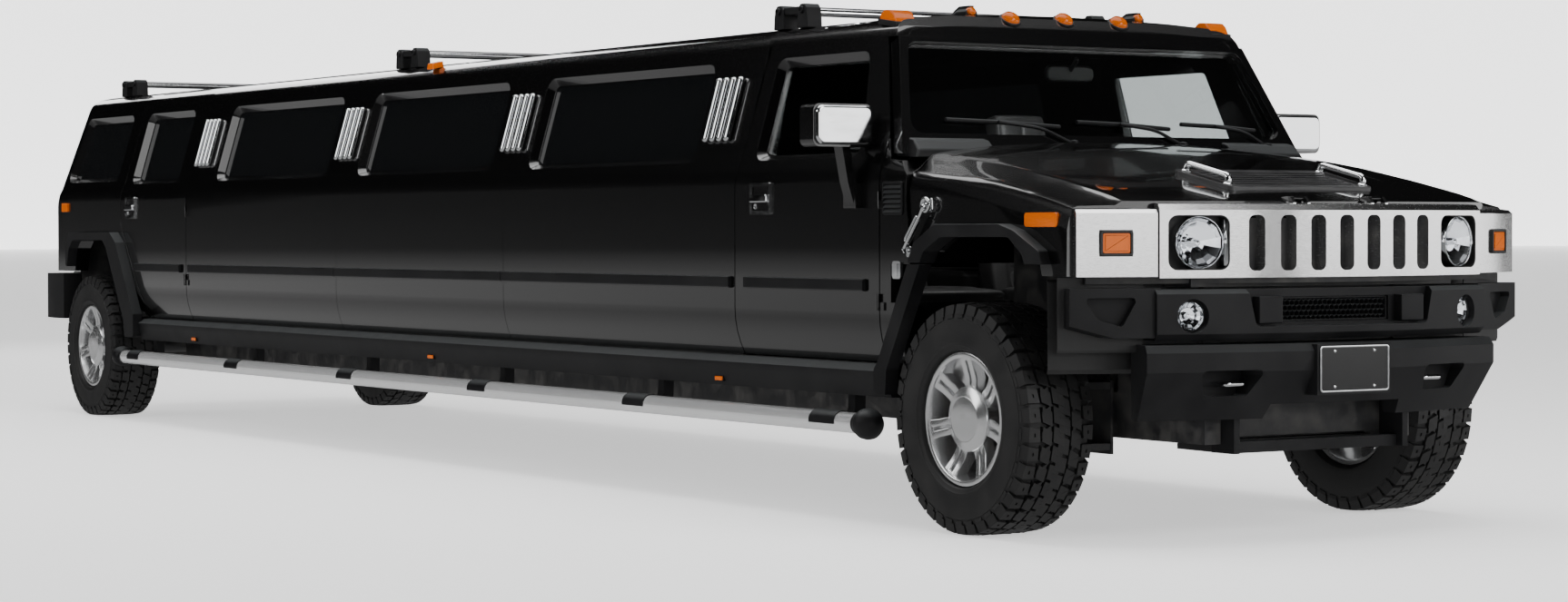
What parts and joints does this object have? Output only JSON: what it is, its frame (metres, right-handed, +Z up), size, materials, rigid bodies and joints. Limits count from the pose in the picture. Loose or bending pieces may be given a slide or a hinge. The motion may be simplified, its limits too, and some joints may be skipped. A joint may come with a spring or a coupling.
{
  "type": "stretch limousine",
  "caption": "Stretched off-road style limousine with a long windowed cabin, hinged doors, tilting clamshell hood, tailgate, steered front wheels and rolling wheels.",
  "frame": {"origin": "middle of the footprint, on the ground under the tyres", "axes": "+X forward along the vehicle, +Y to its left, +Z up"},
  "size_m": [10.44, 2.404, 1.947],
  "materials": {
    "frame_steel": "satin",
    "cast_metal": "rough",
    "underbody": "matte",
    "body_paint": "gloss",
    "satin_trim": "satin",
    "clear_glass": "clear",
    "tinted_glass": "tinted",
    "bright_trim": "polished",
    "rack_metal": "satin",
    "amber_lens": "gloss",
    "cabin_plastic": "matte",
    "seat_leather": "soft",
    "brushed_bright": "brushed",
    "lamp_glass": "clear",
    "red_lens": "gloss",
    "wheel_chrome": "polished",
    "tyre_rubber": "matte"
  },
  "bodies": {
    "body": {"chassis_frame": "frame_steel", "engine_block": "cast_metal", "front_suspension": "frame_steel", "rear_axle": "cast_metal", "floor_pan": "underbody", "wheel_houses": "underbody", "cowl": "body_paint", "windshield_frame": "body_paint", "roof_panel": "body_paint", "stretch_side_right": "body_paint", "stretch_side_left": "body_paint", "rear_quarters": "body_paint", "cladding": "satin_trim", "windshield": "clear_glass", "fixed_windows": "tinted_glass", "pillar_bars": "bright_trim", "side_steps": "bright_trim", "roof_rack": "rack_metal", "marker_lamps": "amber_lens", "dashboard": "cabin_plastic", "seats": "seat_leather", "grille": "brushed_bright", "grille_back": "underbody", "front_lamps": "lamp_glass", "front_bumper": "satin_trim", "bumper_mesh": "satin_trim", "lower_bumper": "satin_trim", "rear_bumper": "satin_trim", "tail_lamps": "red_lens"},
    "hood": {"hood_shell": "body_paint", "hood_flares": "satin_trim", "hood_vent": "satin_trim", "hood_handles": "bright_trim", "hood_markers": "amber_lens"},
    "front_door_right": {"door_front_right": "body_paint", "glass_front_right": "tinted_glass"},
    "front_door_left": {"door_front_left": "body_paint", "glass_front_left": "tinted_glass"},
    "rear_door_right": {"door_rear_right": "body_paint", "glass_rear_right": "tinted_glass"},
    "rear_door_left": {"door_rear_left": "body_paint", "glass_rear_left": "tinted_glass"},
    "tailgate_body": {"tailgate": "body_paint", "tailgate_glass": "tinted_glass"},
    "steer_right_body": {"knuckle_right": "cast_metal"},
    "steer_left_body": {"knuckle_left": "cast_metal"},
    "wheel_front_right": {"rim_front_right": "wheel_chrome", "tyre_front_right": "tyre_rubber"},
    "wheel_front_left": {"rim_front_left": "wheel_chrome", "tyre_front_left": "tyre_rubber"},
    "wheel_rear_right": {"rim_rear_right": "wheel_chrome", "tyre_rear_right": "tyre_rubber"},
    "wheel_rear_left": {"rim_rear_left": "wheel_chrome", "tyre_rear_left": "tyre_rubber"}
  },
  "joints": [
    {"name": "hood_hinge", "type": "hinge", "parent": "body", "child": "hood", "pos_m": [5.13, 0, 1.166], "axis": [0, 1, 0], "range_deg": [0, 60]},
    {"name": "front_door_right_hinge", "type": "hinge", "parent": "body", "child": "front_door_right", "pos_m": [3.766, -0.978, 0.9], "axis": [0, 0, 1], "range_deg": [0, 65]},
    {"name": "front_door_left_hinge", "type": "hinge", "parent": "body", "child": "front_door_left", "pos_m": [3.766, 0.978, 0.9], "axis": [0, 0, -1], "range_deg": [0, 65]},
    {"name": "rear_door_right_hinge", "type": "hinge", "parent": "body", "child": "rear_door_right", "pos_m": [-2.991, -0.978, 0.9], "axis": [0, 0, 1], "range_deg": [0, 65]},
    {"name": "rear_door_left_hinge", "type": "hinge", "parent": "body", "child": "rear_door_left", "pos_m": [-2.991, 0.978, 0.9], "axis": [0, 0, -1], "range_deg": [0, 65]},
    {"name": "tailgate_hinge", "type": "hinge", "parent": "body", "child": "tailgate_body", "pos_m": [-4.9125, 0, 1.77], "axis": [0, 1, 0], "range_deg": [0, 80]},
    {"name": "steer_left", "type": "hinge", "parent": "body", "child": "steer_left_body", "pos_m": [4.34, 0.7995, 0.404], "axis": [0, 0, 1], "range_deg": [-30, 30]},
    {"name": "steer_right", "type": "hinge", "parent": "body", "child": "steer_right_body", "pos_m": [4.34, -0.7995, 0.404], "axis": [0, 0, 1], "range_deg": [-30, 30]},
    {"name": "spin_front_right", "type": "hinge", "parent": "steer_right_body", "child": "wheel_front_right", "pos_m": [4.34, -0.8815, 0.404], "axis": [0, 1, 0], "continuous": true},
    {"name": "spin_front_left", "type": "hinge", "parent": "steer_left_body", "child": "wheel_front_left", "pos_m": [4.34, 0.8815, 0.404], "axis": [0, 1, 0], "continuous": true},
    {"name": "spin_rear_right", "type": "hinge", "parent": "body", "child": "wheel_rear_right", "pos_m": [-4.36, -0.8815, 0.404], "axis": [0, 1, 0], "continuous": true},
    {"name": "spin_rear_left", "type": "hinge", "parent": "body", "child": "wheel_rear_left", "pos_m": [-4.36, 0.8815, 0.404], "axis": [0, 1, 0], "continuous": true}
  ],
  "couplings": [
    {"joint": "steer_right", "follows": "steer_left", "ratio": 1}
  ]
}
